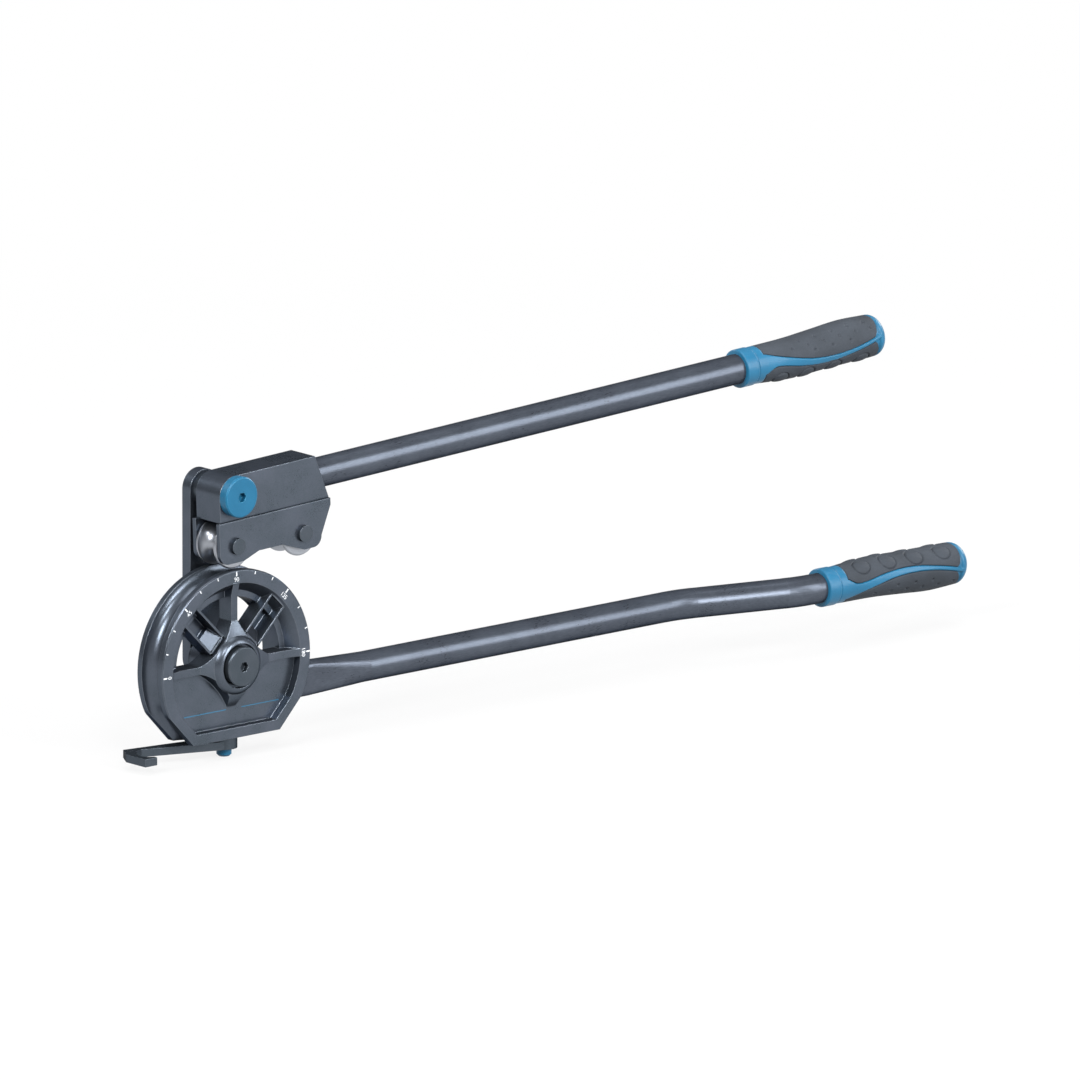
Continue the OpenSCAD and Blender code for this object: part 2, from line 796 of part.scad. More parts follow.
module swing_link() {
    color(body_grey) difference() {
        slab_y(link_y0, link_y1) {
            circle(link_r);
            translate([0, pivot_z]) circle(link_r);
            translate([-link_r, 0]) square([2 * link_r, pivot_z]);
        }
        rod_y(hub_thread_d / 2 + seat_fit, link_y0 - past, link_y1 + past);
        translate([0, 0, pivot_z]) rod_y(screw_thread_d / 2 + seat_fit, link_y0 - past, link_y1 + past);
    }
}

module head_screw() {
    color(accent_blue) translate([0, 0, pivot_z]) {
        bolt_head(screw_head_d, screw_head_h, screw_seat_y - screw_head_h);
        rod_y(screw_shoulder_d / 2, screw_seat_y, link_y0);
        rod_y(screw_thread_d / 2, link_y0, link_y1);
    }
}

module head_spacer() {
    color(bright_steel) translate([0, 0, pivot_z])
        ring_y(screw_shoulder_d / 2 + 2 * bush_wall, screw_shoulder_d / 2 + seat_fit,
            block_y + side_play, link_y0);
}

// Roller head

module block_side() {
    circle(block_top);
    polygon([
        [-block_top, 0], [-block_top, -block_drop], [block_len, -block_drop],
        [block_len - block_lean, block_top], [0, block_top], [0, 0]
    ]);
}

module head_block() {
    socket_x = block_len - block_lean - socket_in;
    color(body_grey) at_head() difference() {
        union() {
            slab_y(-block_y, block_y) block_side();
            slab_y(-cheek_in_y, cheek_in_y) translate([tongue_x - tongue_w / 2, lobe_z + arch_rise])
                square([tongue_w, -lobe_z - arch_rise]);
        }
        rod_y(screw_shoulder_d / 2 + bush_wall + seat_fit, -block_w, block_w);
        translate([0, 0, -handle_drop]) rod_x(half_handle + seat_fit, socket_x, block_len + past);
        translate([lock_pin_x, 0, -block_drop - past]) cylinder(r = lock_pin_r + seat_fit, h = block_drop + past);
    }
}

module cheek_side() {
    trail_low = trail_axle[1] - lobe_r;
    arch_z = lobe_z + arch_rise;
    nose = [cheek_round - cheek_nose, lobe_z + cheek_round];
    tail = [block_len - cheek_tail - cheek_round, trail_low + cheek_round];
    translate(nose) circle(cheek_round);
    translate(tail) circle(cheek_round);
    polygon([
        [-cheek_nose, -block_drop], [-cheek_nose, nose[1]], [nose[0], lobe_z],
        [lead_axle[0] + lobe_r / 2, lobe_z], [tongue_x - tongue_w / 2, arch_z],
        [tongue_x + tongue_w / 2, arch_z], [trail_axle[0], trail_low], [tail[0], trail_low],
        [block_len - cheek_tail, tail[1]], [block_len, -block_drop - arch_rise], [block_len, -block_drop]
    ]);
}

module cheek(y0, y1) {
    color(body_grey) at_head() difference() {
        slab_y(y0, y1) cheek_side();
        for (axle = [lead_axle, trail_axle])
            translate([axle[0], 0, axle[1]]) rod_y(axle_d / 2 + seat_fit, y0 - past, y1 + past);
    }
}

module front_cheek() {
    cheek(-cheek_out_y, -cheek_in_y);
}

module rear_cheek() {
    cheek(cheek_in_y, cheek_out_y);
}

module head_bush() {
    color(bronze) at_head()
        ring_y(screw_shoulder_d / 2 + bush_wall, screw_shoulder_d / 2 + run_fit, -block_y, block_y);
}

module axle_pin(pitch) {
    color(steel_grey) at_axle(pitch) {
        rod_y(axle_d / 2, -cheek_out_y, cheek_out_y);
        rod_y(axle_head_d / 2, -cheek_out_y - axle_head_h, -cheek_out_y);
        rod_y(axle_head_d / 2, cheek_out_y, cheek_out_y + axle_head_h);
    }
}

module lead_axle_pin() {
    axle_pin(0);
}

module trail_axle_pin() {
    axle_pin(axle_pitch);
}

module moving_handle() {
    socket_x = block_len - block_lean - socket_in;
    color(steel_grey) at_head() difference() {
        translate([0, 0, -handle_drop]) difference() {
            rod_x(half_handle, socket_x, moving_reach + grip_cover);
            rod_x(handle_bore, socket_x - past, moving_reach + grip_cover + past);
        }
        translate([lock_pin_x, 0, -handle_drop - handle_d])
            cylinder(r = lock_pin_r + seat_fit, h = handle_d);
    }
}

module handle_lock_pin() {
    color(bright_steel) at_head() translate([lock_pin_x, 0, -block_drop])
        cylinder(r = lock_pin_r, h = block_drop - handle_drop);
}

module roller(pitch) {
    half = roller_w / 2;
    color(bright_steel) at_axle(pitch) difference() {
        turn_y() polygon([
            [0, -half], [roller_flange_r - flange_bevel, -half], [roller_flange_r, flange_bevel - half],
            [roller_flange_r, half - flange_bevel], [roller_flange_r - flange_bevel, half], [0, half]
        ]);
        turn_y() translate([roller_r, 0]) circle(groove_r);
        rod_y(axle_d / 2 + bush_wall / 2 + seat_fit, -roller_w, roller_w);
    }
}

module roller_bush(pitch) {
    color(bronze) at_axle(pitch)
        ring_y(axle_d / 2 + bush_wall / 2, axle_d / 2 + run_fit, -roller_w / 2, roller_w / 2);
}

module lead_roller() {
    roller(0);
}

module lead_roller_bush() {
    roller_bush(0);
}

module trail_roller() {
    roller(axle_pitch);
}

module trail_roller_bush() {
    roller_bush(axle_pitch);
}

forming_wheel();
hub_bush();
hub_washer();
fixed_handle();
handle_screws();
fixed_grip_core();
fixed_palm_pad();
fixed_finger_pad();
hook_pin();
hook_washer();
tube_hook();
swing_link();
hub_bolt();
head_screw();
head_spacer();
head_block();
front_cheek();
rear_cheek();
head_bush();
lead_axle_pin();
trail_axle_pin();
moving_handle();
handle_lock_pin();
moving_grip_core();
moving_palm_pad();
moving_finger_pad();
lead_roller();
lead_roller_bush();
trail_roller();
trail_roller_bush();
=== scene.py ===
import math

import bmesh
import bpy
import numpy as np
from mathutils import Matrix, Vector


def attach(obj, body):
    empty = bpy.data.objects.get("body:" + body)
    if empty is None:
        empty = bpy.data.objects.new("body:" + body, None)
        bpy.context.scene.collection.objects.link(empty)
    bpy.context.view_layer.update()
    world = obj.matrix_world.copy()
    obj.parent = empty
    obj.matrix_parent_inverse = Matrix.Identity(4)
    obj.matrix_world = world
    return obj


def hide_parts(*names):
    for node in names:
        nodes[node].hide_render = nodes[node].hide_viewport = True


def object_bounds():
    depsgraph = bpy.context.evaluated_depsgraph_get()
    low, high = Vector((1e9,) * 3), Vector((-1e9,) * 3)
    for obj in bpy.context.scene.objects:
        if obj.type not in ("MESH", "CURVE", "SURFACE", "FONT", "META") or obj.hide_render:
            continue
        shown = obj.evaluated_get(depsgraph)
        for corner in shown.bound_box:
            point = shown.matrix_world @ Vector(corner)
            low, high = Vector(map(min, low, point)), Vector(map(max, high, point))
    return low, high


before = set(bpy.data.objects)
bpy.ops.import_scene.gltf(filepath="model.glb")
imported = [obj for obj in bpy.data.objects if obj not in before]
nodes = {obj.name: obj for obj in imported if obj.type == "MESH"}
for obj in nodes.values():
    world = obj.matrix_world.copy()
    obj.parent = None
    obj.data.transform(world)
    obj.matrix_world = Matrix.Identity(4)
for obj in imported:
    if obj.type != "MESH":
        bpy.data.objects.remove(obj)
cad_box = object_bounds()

MM = 0.001
TINY = 1e-6
# By how much pieces of one casting or moulding reach into each other, in millimetres
LAP = 0.1


# Sizes in millimetres, as in the part's source

WHEEL_FRONT_Y = -13.0
PIVOT_Z = 112.5
HANDLE_RISE = 2.4
MOVING_REACH = 441.0
HANDLE_DROP = 1.9
FIXED_GRIP_AT = (491.0, -24.4, -21.5)

HALF_HANDLE = 10.0
GRIP_LEN = 123.0
COLLAR_LEN = 16.0
RING_LEN = 10.0
RING_WALL = 2.8
DOME_LEN = 8.0
DOME_START = GRIP_LEN - DOME_LEN

# The front of the wheel's panel, 1 mm deeper than in the part's source
PANEL_Y = -7.0

# A grip is drawn with its palm side up. The sides are heights over the handle's tube and the edges are
# levels at which the pads end, both as (share of the grip's length, millimetres).
PALM_SIDE = [(0, 1.8), (0.1, 2.3), (0.35, 2.6), (0.55, 4.0), (0.74, 5.5), (0.9, 4.8), (1, 4.0)]
FINGER_SIDE = [(0, 1.8), (0.1, 2.4), (0.35, 4.6), (0.55, 3.9), (0.74, 3.5), (0.9, 3.4), (1, 2.8)]
GRIP_SIDE = [(0, 1.8), (0.1, 2.4), (0.35, 3.6), (0.55, 4.4), (0.74, 4.8), (0.9, 4.4), (1, 3.6)]
PALM_EDGE = [
    (0, 10), (0.13, 8.6), (0.21, 5.8), (0.33, 2), (0.46, -1.4), (0.59, -2.4), (0.72, -1.3),
    (0.84, 1.4), (0.93, 4.3), (1, 6.5),
]
FINGER_EDGE = [
    (0, -9), (0.13, -5.4), (0.19, -1.6), (0.25, -1.7), (0.37, -4.5), (0.49, -6.2), (0.61, -6),
    (0.73, -3.9), (0.85, -1), (0.93, 1.8), (1, 3.5),
]


# Shader nodes

def new_material(name):
    """A material with an empty Principled shader, its tree and that shader."""
    material = bpy.data.materials.new(name)
    material.use_nodes = True
    tree = material.node_tree
    return material, tree, tree.nodes["Principled BSDF"]


def add(tree, kind, props=None, **sockets):
    """Adds a node. A socket, by name or as _ and its place, gets a value or another node's output."""
    node = tree.nodes.new(kind)
    for key, value in (props or {}).items():
        setattr(node, key, value)
    for key, value in sockets.items():
        socket = node.inputs[int(key[1:])] if key[0] == "_" else node.inputs[key.replace("_", " ")]
        if isinstance(value, bpy.types.NodeSocket):
            tree.links.new(value, socket)
        else:
            socket.default_value = value
    return node


def noise(tree, where, scale, detail=3.0, roughness=0.55):
    """Height of a noise, about 0.5 in the middle."""
    return add(tree, "ShaderNodeTexNoise", Vector=where, Scale=scale, Detail=detail,
               Roughness=roughness).outputs["Fac"]


def remap(tree, value, low, high, to_low, to_high):
    """A value carried from one range to another, and kept inside it."""
    return add(tree, "ShaderNodeMapRange", _0=value, _1=low, _2=high, _3=to_low,
               _4=to_high).outputs["Result"]


def blend(tree, share, first, second):
    """A colour between two others."""
    return add(tree, "ShaderNodeMix", {"data_type": "RGBA"}, _0=share, _6=first,
               _7=second).outputs[2]


def srgb(code):
    """Linear colour of a hex code."""
    parts = [int(code[i:i + 2], 16) / 255 for i in (0, 2, 4)]
    return tuple(p / 12.92 if p <= 0.04045 else ((p + 0.055) / 1.055) ** 2.4 for p in parts) + (1.0,)


def finish(name, dark, light, edge=None, metallic=0.0, rough=(0.35, 0.5), specular=0.5,
           broad=45.0, fine=1500.0, bump=0.1, depth=0.05, soften=0.5, grain=(1.0, 1.0, 1.0), rim=1.0):
    """A surface that varies between two colours, with a fine bump and softened edges that carry a painted
    highlight.
    """
    material, tree, shader = new_material(name)
    where = add(tree, "ShaderNodeTexCoord").outputs["Object"]
    cloud = noise(tree, where, broad)
    along = add(tree, "ShaderNodeMapping", Vector=where, Scale=grain).outputs["Vector"]
    speck = noise(tree, along, fine, 2.0)
    mixed = add(tree, "ShaderNodeMix", _0=0.5, _2=cloud, _3=speck).outputs[0]
    colour = blend(tree, remap(tree, mixed, 0.36, 0.64, 0.0, 1.0), srgb(dark), srgb(light))
    rounded = add(tree, "ShaderNodeBevel", {"samples": 6}, Radius=soften * MM)
    # Painted highlight: at edges, where the rounded normal turns away from the flat one, the lighter edge
    # colour is mixed in, in patches
    if edge:
        flat = add(tree, "ShaderNodeNewGeometry").outputs["Normal"]
        same = add(tree, "ShaderNodeVectorMath", {"operation": "DOT_PRODUCT"}, _0=flat,
                   _1=rounded.outputs["Normal"]).outputs["Value"]
        edge_highlight_share = remap(tree, same, 0.985, 0.86, 0.0, 0.75)
        patchy_edge_highlight = add(tree, "ShaderNodeMath", {"operation": "MULTIPLY"}, _0=edge_highlight_share,
                     _1=remap(tree, cloud, 0.35, 0.6, 0.45, 1.0)).outputs[0]
        colour = blend(tree, patchy_edge_highlight, colour, srgb(edge))
    tree.links.new(colour, shader.inputs["Base Color"])
    tree.links.new(remap(tree, mixed, 0.35, 0.65, *rough), shader.inputs["Roughness"])
    bumped = add(tree, "ShaderNodeBump", Strength=bump, Distance=depth * MM, Height=speck,
                 Normal=rounded.outputs["Normal"])
    tree.links.new(bumped.outputs["Normal"], shader.inputs["Normal"])
    shader.inputs["Metallic"].default_value = metallic
    shader.inputs["Specular IOR Level"].default_value = specular
    shader.inputs["Specular Tint"].default_value = (rim, rim, rim, 1.0)
    return material


# Scales that draw the grain out along a tube, or round a turned piece
ALONG_X = (0.2, 1.0, 1.0)
TURNED_ON_Y = (0.02, 1.0, 0.02)

# Each edge colour is a painted highlight along the edges of its finish
SLOT_FINISH = {
    "cast_body": finish("cast_body_paint", "4d555d", "5b616c", edge="7d848c", metallic=0.82,
                        rough=(0.27, 0.32), specular=0.0, rim=0.2, fine=1900, bump=0.1, depth=0.02,
                        soften=0.7),
    "handle_tube": finish("handle_tube_paint", "494e57", "565c66", edge="7d848c", metallic=0.68,
                          rough=(0.27, 0.31), specular=0.0, rim=0.2, fine=1400, bump=0.05, depth=0.02,
                          grain=ALONG_X),
    "dark_steel": finish("dark_steel_black", "454d54", "525860", edge="757c84", metallic=0.82,
                         rough=(0.29, 0.35), specular=0.0, rim=0.2, fine=1600, bump=0.1, depth=0.02,
                         soften=0.5),
    "bright_steel": finish("bright_steel_turned", "93979e", "a1a5ac", metallic=0.95,
                           rough=(0.3, 0.38), fine=2600, bump=0.04, depth=0.01, soften=0.4,
                           grain=TURNED_ON_Y),
    "bush_bronze": finish("bush_bronze_turned", "8a6a3c", "a5834c", metallic=0.9,
                          rough=(0.3, 0.42), fine=2600, bump=0.04, depth=0.01, soften=0.3,
                          grain=TURNED_ON_Y),
    "blue_metal": finish("blue_metal_anodised", "135676", "196284", edge="4f97b8", metallic=0.1,
                         rough=(0.34, 0.42), specular=0.3, fine=1500, bump=0.06, depth=0.02,
                         soften=0.5),
    "blue_plastic": finish("blue_plastic_moulded", "175a7b", "1d678a", rough=(0.34, 0.44),
                           specular=0.4, fine=2600, bump=0.1, depth=0.02, soften=0.3),
    "soft_pad": finish("soft_pad_grained", "373b40", "43484f", rough=(0.5, 0.62), specular=0.05,
                       fine=2200, bump=0.35, depth=0.1, soften=0.3),
}

# The printed marks aren't slots of the record
SLOT_FINISH["mark_white"] = finish("mark_white_print", "d4d8dc", "e8ebee", rough=(0.45, 0.6),
                                   fine=2500, soften=0.05)
SLOT_FINISH["mark_blue"] = finish("mark_blue_print", "185e80", "1f6b8f", rough=(0.4, 0.55),
                                  fine=2500, soften=0.05)


def dress(obj, slot):
    """Gives a piece the finish of a slot."""
    obj.data.materials.clear()
    obj.data.materials.append(SLOT_FINISH[slot])


for obj in nodes.values():
    dress(obj, obj.data.materials[0].name.split(".")[0])


# Mesh pieces

def mesh_piece(name, points, faces, body, slot, smooth=True):
    """A new piece from points in metres, which rides on a body."""
    mesh = bpy.data.meshes.new(name)
    mesh.from_pydata([tuple(p) for p in points], [], faces)
    mesh.update()
    if smooth:
        mesh.polygons.foreach_set("use_smooth", [True] * len(mesh.polygons))
    obj = bpy.data.objects.new(name, mesh)
    bpy.context.scene.collection.objects.link(obj)
    dress(obj, slot)
    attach(obj, body)
    return obj


def smooth_curve(points, x):
    """Smooth curve through (x, value) points, for an array of x."""
    xs, ys = (np.array(c, float) for c in zip(*points))
    i = np.clip(np.searchsorted(xs, x, side="left") - 1, 0, len(xs) - 2)
    before, after = np.maximum(i - 1, 0), np.minimum(i + 2, len(xs) - 1)
    w = xs[i + 1] - xs[i]
    t = (x - xs[i]) / w
    m0 = w * (ys[i + 1] - ys[before]) / (xs[i + 1] - xs[before])
    m1 = w * (ys[after] - ys[i]) / (xs[after] - xs[i])
    return ((2 * t**3 - 3 * t**2 + 1) * ys[i] + (t**3 - 2 * t**2 + t) * m0
            + (3 * t**2 - 2 * t**3) * ys[i + 1] + (t**3 - t**2) * m1)


def fullness(x):
    """How full the grip is: it rounds in over its dome."""
    return np.sqrt(np.clip(1 - (np.maximum(x - DOME_START, 0) / DOME_LEN) ** 2, 0, 1))


def side_r(side, x):
    """Distance of one side of the grip from its axis."""
    return (HALF_HANDLE + smooth_curve(side, x / GRIP_LEN)) * fullness(x)


def skin(x, turn, inset):
    """Points on the grip's skin: turn 0 is down, 90 to the front and 180 up, in degrees."""
    c, s = np.cos(np.radians(turn)), np.sin(np.radians(turn))
    high = np.where(c < 0, side_r(PALM_SIDE, x), side_r(FINGER_SIDE, x)) - inset
    wide = side_r(GRIP_SIDE, x) - inset
    return np.stack([x + 0 * turn, -wide * s, -high * c], axis=-1)


def edge_turn(edge, x):
    """Turn in degrees at which the skin has the level of a pad's edge."""
    z = smooth_curve(edge, x / GRIP_LEN) * fullness(x)
    high = np.where(z > 0, side_r(PALM_SIDE, x), side_r(FINGER_SIDE, x))
    return np.degrees(np.arccos(np.clip(-z / np.maximum(high, TINY), -1, 1)))


def grid_faces(rows, columns):
    """Quads of rows of points, each row closed to a ring."""
    return [(i * columns + j, i * columns + (j + 1) % columns,
             (i + 1) * columns + (j + 1) % columns, (i + 1) * columns + j)
            for i in range(rows - 1) for j in range(columns)]


# Gap between a pad and the core, depth and end of the bed that the pad lies in, and the skin's mean radius
PAD_GAP = 0.5
PAD_BED = 1.5
BED_END = DOME_START - 1
SKIN_R = HALF_HANDLE + 3

# Rows of the core: fine over its ring, then along the grip and over its dome; and points round each row
FINE_END, FINE_ROWS, LONG_START, LONG_ROWS, DOME_ROWS = 12, 49, 12.3, 180, 30
CORE_TURNS = 192
# The ring's rounded lip, and the neck behind the ring: how far it steps in and how fast it rises again
RING_LIP, NECK_STEP, NECK_RISE = 0.9, 0.7, 0.8


def core_points():
    """Rings of the grip's blue core: collar, neck, stripe and end rim."""
    over_dome = np.sin(np.radians(np.linspace(2, 90, DOME_ROWS)))
    x = np.concatenate([np.linspace(0, FINE_END, FINE_ROWS), np.linspace(LONG_START, DOME_START, LONG_ROWS),
                        DOME_START + DOME_LEN * over_dome])
    turn = np.linspace(0, 360, CORE_TURNS, endpoint=False)
    xs, ts = np.meshgrid(x, turn, indexing="ij")
    folded = np.where(ts > 180, 360 - ts, ts)
    low, high = edge_turn(FINGER_EDGE, xs), edge_turn(PALM_EDGE, xs)
    under = np.maximum(low - folded, folded - high) * np.radians(1) * SKIN_R
    inside = np.minimum(np.minimum(xs - COLLAR_LEN, BED_END - xs), under)
    bed = PAD_BED * np.clip(0.5 + inside / PAD_GAP, 0, 1)
    points = skin(xs, ts, bed)
    ring = HALF_HANDLE + RING_WALL
    lip = RING_LIP
    edge = np.minimum(xs, RING_LEN - xs)
    collar = ring - lip + np.sqrt(np.clip(lip**2 - np.clip(lip - edge, 0, lip) ** 2, 0, None))
    round_r = np.hypot(points[..., 1], points[..., 2])
    neck = np.clip((xs - RING_LEN) / NECK_RISE, 0, 1)
    wanted = np.where(xs <= RING_LEN, collar, round_r - NECK_STEP * (1 - neck))
    points[..., 1:] *= (wanted / np.maximum(round_r, TINY))[..., None]
    return points


def closed_loft(points):
    """Points and faces of a ring loft with a fan at each end."""
    rows, columns, _ = points.shape
    faces = grid_faces(rows, columns)
    flat = points.reshape(-1, 3)
    ends = np.array([points[0].mean(0), points[-1].mean(0)])
    start, end = len(flat), len(flat) + 1
    last = (rows - 1) * columns
    faces += [(start, (j + 1) % columns, j) for j in range(columns)]
    faces += [(end, last + j, last + (j + 1) % columns) for j in range(columns)]
    return np.concatenate([flat, ends]), faces


# Circles on the finger pad: a groove round a low dome, to the left and right of the lowest line
CIRCLE_X = (31, 53, 76, 100)
CIRCLE_R, CIRCLE_TURN = 6.5, 34
CIRCLE_GROOVE, CIRCLE_GROOVE_WIDTH, CIRCLE_DOME = 0.9, 0.5, 0.8
# Rows of dimples on the palm pad: turn, first x, step and count
DIMPLE_ROWS = ((150, 48, 14, 5), (129, 40, 13.5, 6), (110, 58, 15, 3))
DIMPLES = [(first + step * i, turn) for turn, first, step, count in DIMPLE_ROWS for i in range(count)]
DIMPLE_DEPTH, DIMPLE_R = 1.1, 0.9
# The pad's rounded crown, its rounded far end and the points along and across it
PAD_CROWN, PAD_END_LEN = 0.8, 5
PAD_START, PAD_END = COLLAR_LEN + 0.3, DOME_START - 1.3
PAD_ROWS, PAD_COLUMNS = 381, 141


def relief(palm, xs, ts):
    """How far the dimples of the palm pad, or the circles of the finger pad, lie under its skin."""
    reach = np.radians(1) * (HALF_HANDLE + 4)
    depth = np.zeros_like(xs)
    marks = DIMPLES if palm else [(at, CIRCLE_TURN) for at in CIRCLE_X]
    for at, turn in marks:
        for side in (turn, 360 - turn if palm else -turn):
            off = np.hypot(xs - at, (ts - side) * reach)
            if palm:
                depth += DIMPLE_DEPTH * np.exp(-(off / DIMPLE_R) ** 2)
            else:
                depth += CIRCLE_GROOVE * np.exp(-((off - CIRCLE_R) / CIRCLE_GROOVE_WIDTH) ** 2)
                depth -= CIRCLE_DOME * np.clip(1 - (off / CIRCLE_R) ** 2, 0, 1)
    return depth


def pad_points(palm):
    """A closed pad: its crowned skin and, turned in at the edges, its underside."""
    first, last = PAD_START, PAD_END
    x = first + (last - first) * np.linspace(0, 1, PAD_ROWS) ** np.linspace(1.3, 1, PAD_ROWS)
    if palm:
        middle, half = 180.0, 180 - edge_turn(PALM_EDGE, x)
    else:
        middle, half = 0.0, edge_turn(FINGER_EDGE, x)
    seam = np.degrees(PAD_GAP / 2 / SKIN_R)
    rounding = np.sqrt(np.clip(1 - (1 - np.clip((last - x) / PAD_END_LEN, 0, 1)) ** 2, 0.02, 1))
    half = (half - seam) * rounding
    v = np.sin(np.linspace(-math.pi / 2, math.pi / 2, PAD_COLUMNS))
    xs = np.repeat(x[:, None], len(v), 1)
    ts = middle + half[:, None] * v[None, :]
    rim = np.minimum((1 - np.abs(v))[None, :] * np.radians(half)[:, None] * SKIN_R,
                     np.minimum(xs - first, last - xs))
    inset = PAD_CROWN * (1 - np.sqrt(np.clip(1 - (1 - np.clip(rim / PAD_CROWN, 0, 1)) ** 2, 0, 1)))
    top = skin(xs, ts, inset + relief(palm, xs, ts))
    under = skin(xs, ts, np.full_like(xs, PAD_BED - LAP))
    return np.concatenate([top, under[:, ::-1]], axis=1)


# Each grip's body, its place and the nodes that it takes the place of
LEAN = Matrix.Rotation(math.radians(-HANDLE_RISE), 4, "Y")
GRIPS = {
    "fixed": ("wheel", Matrix.Translation(FIXED_GRIP_AT) @ Matrix.Rotation(math.pi, 4, "X"),
              ("fixed_grip_core", "fixed_palm_pad", "fixed_finger_pad")),
    "moving": ("head", Matrix.Translation((0, 0, PIVOT_Z)) @ LEAN
               @ Matrix.Translation((MOVING_REACH, 0, -HANDLE_DROP)),
               ("moving_grip_core", "moving_palm_pad", "moving_finger_pad")),
}


def placed(points, matrix):
    """Points in metres after a move that is in millimetres."""
    m = np.array(matrix)
    return (points @ m[:3, :3].T + m[:3, 3]) * MM


for grip, (body, at, names) in GRIPS.items():
    shapes = (("shell", core_points(), "blue_plastic"), ("palm", pad_points(True), "soft_pad"),
              ("fingers", pad_points(False), "soft_pad"))
    for (part, rings, slot), node in zip(shapes, names):
        points, faces = closed_loft(rings)
        piece = mesh_piece(f"{grip}_grip_{part}", placed(points, at), faces, body, slot)
        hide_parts(node)


# Wheel casting: the CAD wheel with its hub and spokes cut away, and finer ones in their place

# The ring slopes from its front edge to the bore
RING_R, SLOPE_R, BORE_R, SLOPE_Y = 54.2, 48.2, 44.0, -4.0
HALF_SPOKE, SPOKE_Y, SPOKE_BACK_Y = 2.6, -10.7, 1.6
# The star's arms reach the spokes, and its face rises from them to the boss
STAR_REACH, STAR_BEND, ARM_Y, BOSS_BASE_Y = 29.0, 11.0, -10.9, -13.4
# Corner of the star's lower tip and the point that its lower sides bend to, at the face and at the panel
STAR_FACE_LOW = ((6.0, -20.4), (17.1, -5.2))
STAR_BASE_LOW = ((3.6, -28.8), (11.5, -12.2))
STAR_RINGS = 9
# The boss has a seat for the bolt's head, a bore for the bush and a barrel behind
BOSS_R, SEAT_R, SEAT_Y, BUSH_R, BARREL_R, HUB_BACK_Y = 19.8, 14.6, -14.4, 10.0, 15.04, 16.8
# The wheel's flat bottom, a slanted side as its normal's x and z and its distance, and the panel's border
FLAT_DROP, PANEL_BORDER = 48.6, 7.0
SLANT = (0.727888, -0.685696, 60.0383)
# The tube's centre line, the groove's own radius and how near its points lie to it
TUBE_AT_R, TUBE_GROOVE_R, ON_FACE = 63.5, 8.0, 0.12
# Cuts go a little past the faces that they follow, and well past the wheel elsewhere
CUT_OVER, FAR_Y, FAR_R, AXIS_R = 0.02, 40.0, 90.0, 0.001
CUT_STEPS, BOSS_STEPS = 256, 128
WELD = 0.001
SHARP_DEGREES = 28


def revolved(profile, steps):
    """Points and faces of a closed profile of (radius, y) that is turned about the Y axis."""
    turn = np.linspace(0, 2 * math.pi, steps, endpoint=False)
    points = np.array([[(r * math.cos(a), y, r * math.sin(a)) for r, y in profile] for a in turn])
    columns = len(profile)
    faces = []
    for i in range(steps):
        here, ahead = i * columns, (i + 1) % steps * columns
        for j in range(columns):
            k = (j + 1) % columns
            faces.append((here + j, here + k, ahead + k, ahead + j))
    return points.reshape(-1, 3), faces


def prism_faces(n):
    """Faces of a prism whose two ends have n corners each."""
    ends = [tuple(range(n)), tuple(range(2 * n - 1, n - 1, -1))]
    return ends + [(i, n + i, n + (i + 1) % n, (i + 1) % n) for i in range(n)]


def prism(outline, y0, y1):
    """Points and faces of an outline of (x, z) between two levels of y."""
    points = [(x, y, z) for y in (y0, y1) for x, z in outline]
    return np.array(points, float), prism_faces(len(outline))


def spoke_bar(profile, v0, v1, angle):
    """Points and faces of a profile of (along, y) between two places across a spoke; 0 is on the right."""
    a = math.radians(angle)
    points = [(u, y, v) for v in (v0, v1) for u, y in profile]
    u, y, v = np.array(points, float).T
    turned = np.stack([u * math.cos(a) - v * math.sin(a), y, u * math.sin(a) + v * math.cos(a)], 1)
    return turned, prism_faces(len(profile))


def clipped(outline, nx, nz, off):
    """The part of a convex outline where nx * x + nz * z is below off."""
    kept = []
    for (ax, az), (bx, bz) in zip(outline, outline[1:] + outline[:1]):
        a, b = off - nx * ax - nz * az, off - nx * bx - nz * bz
        if a >= 0:
            kept.append((ax, az))
        if a * b < 0:
            kept.append((ax + (bx - ax) * a / (a - b), az + (bz - az) * a / (a - b)))
    return kept


def raw_object(name, points, faces):
    """An object from points in millimetres, its faces turned outward."""
    mesh = bpy.data.meshes.new(name)
    mesh.from_pydata([tuple(p) for p in np.asarray(points) * MM], [], faces)
    facing = bmesh.new()
    facing.from_mesh(mesh)
    bmesh.ops.recalc_face_normals(facing, faces=facing.faces)
    facing.to_mesh(mesh)
    facing.free()
    obj = bpy.data.objects.new(name, mesh)
    bpy.context.scene.collection.objects.link(obj)
    return obj


def cut_away(obj, tool):
    """Cuts another object, which is then deleted, out of an object's mesh."""
    modifier = obj.modifiers.new("cut", "BOOLEAN")
    modifier.operation, modifier.solver, modifier.object = "DIFFERENCE", "EXACT", tool
    bpy.context.view_layer.update()
    mesh = bpy.data.meshes.new_from_object(obj.evaluated_get(bpy.context.evaluated_depsgraph_get()))
    obj.modifiers.clear()
    obj.data = mesh
    bpy.data.objects.remove(tool)


def bezier(a, b, c, count):
    """Points of a curve from a to c that bends towards b, without c itself."""
    t = np.linspace(0, 1, count, endpoint=False)[:, None]
    return (1 - t) ** 2 * np.array(a) + 2 * t * (1 - t) * np.array(b) + t**2 * np.array(c)


def star_outline(tip, low_bend):
    """Outline of the star round the hub: three arms that meet the spokes and a blunt lower tip."""
    reach, bend, h = STAR_REACH, STAR_BEND, HALF_SPOKE
    right = np.concatenate([
        bezier((0, reach), (h / 2, reach), (h, reach), 6),
        bezier((h, reach), (bend, bend), (reach, h), 40),
        bezier((reach, h), (reach, 0), (reach, -h), 8),
        bezier((reach, -h), low_bend, tip, 40),
        bezier(tip, (tip[0] / 2, tip[1]), (0, tip[1]), 10),
    ])
    return np.concatenate([right, [(0, tip[1])], (right * (-1, 1))[:0:-1]])


